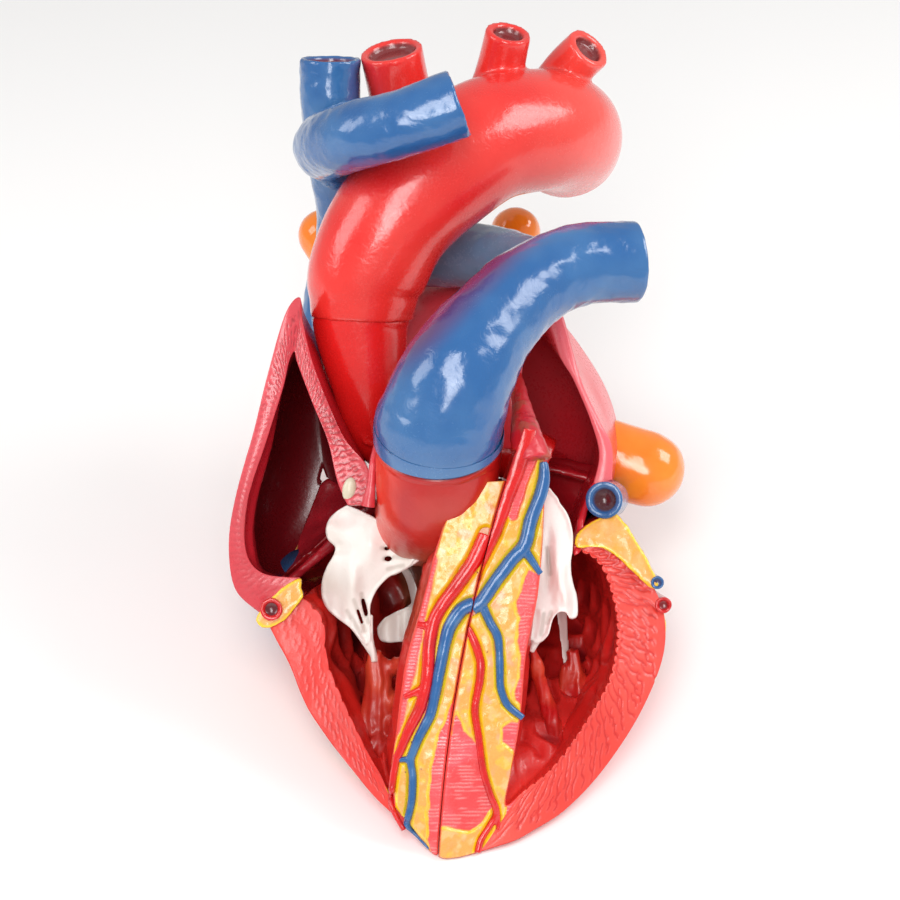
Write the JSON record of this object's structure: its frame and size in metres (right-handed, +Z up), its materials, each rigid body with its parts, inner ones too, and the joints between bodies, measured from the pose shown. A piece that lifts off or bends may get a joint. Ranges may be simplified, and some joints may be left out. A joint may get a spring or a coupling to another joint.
{
  "type": "heart anatomy model",
  "caption": "Enlarged opened human heart teaching model: two halves that part along the septum, lift-off pulmonary trunk, open chambers with valves, and great vessels.",
  "frame": {"origin": "on the table plane, at the middle of the flat underside that the model rests on", "axes": "+Z up from the table, -Y towards the viewer with the opened front, +X towards the heart's left side"},
  "size_m": [0.1734, 0.2539, 0.2267],
  "materials": {
    "aorta_red": "gloss",
    "vein_blue": "gloss",
    "muscle_red": "satin",
    "atrium_red": "satin",
    "fat_yellow": "satin",
    "coronary_red": "gloss",
    "valve_white": "satin",
    "papillary_red": "satin",
    "lung_vein_orange": "gloss",
    "magnet_steel": "plated",
    "inlay_cream": "satin"
  },
  "bodies": {
    "right_half": {"right_ventricle": "muscle_red", "right_atrium": "atrium_red", "right_groove_fat": "fat_yellow", "right_coronary_artery": "coronary_red", "conus": "muscle_red", "pulmonary_valve": "valve_white", "fibrous_ring_inlay": "inlay_cream", "tricuspid_valve": "valve_white", "tricuspid_chordae": "valve_white", "right_papillary_muscles": "papillary_red", "right_edge_fat": "fat_yellow", "right_edge_artery": "coronary_red", "right_edge_vein": "vein_blue", "superior_vena_cava": "vein_blue", "left_brachiocephalic_vein": "vein_blue", "inferior_vena_cava": "vein_blue", "right_septum_magnets": "magnet_steel"},
    "left_half": {"left_ventricle": "muscle_red", "left_atrium": "atrium_red", "left_groove_fat": "fat_yellow", "coronary_sinus": "vein_blue", "circumflex_artery": "coronary_red", "circumflex_vein": "vein_blue", "mitral_valve": "valve_white", "mitral_chordae": "valve_white", "left_papillary_muscles": "papillary_red", "left_edge_fat": "fat_yellow", "left_edge_artery": "coronary_red", "left_edge_vein": "vein_blue", "left_septum_magnets": "magnet_steel", "aortic_root": "aorta_red", "coronary_ostium": "aorta_red", "aortic_arch": "aorta_red", "brachiocephalic_trunk": "aorta_red", "left_common_carotid_artery": "aorta_red", "left_subclavian_artery": "aorta_red", "right_pulmonary_artery": "vein_blue", "right_upper_pulmonary_vein": "lung_vein_orange", "right_lower_pulmonary_vein": "lung_vein_orange", "left_upper_pulmonary_vein": "lung_vein_orange", "left_lower_pulmonary_vein": "lung_vein_orange"},
    "trunk": {"pulmonary_trunk": "vein_blue"}
  },
  "joints": [
    {"name": "left_half_slide", "type": "slide", "parent": "right_half", "child": "left_half", "axis": [0.9063, 0.4226, 0], "range_m": [0, 0.12]},
    {"name": "trunk_lift", "type": "slide", "parent": "right_half", "child": "trunk", "axis": [0, 0, 1], "range_m": [0, 0.1]}
  ]
}
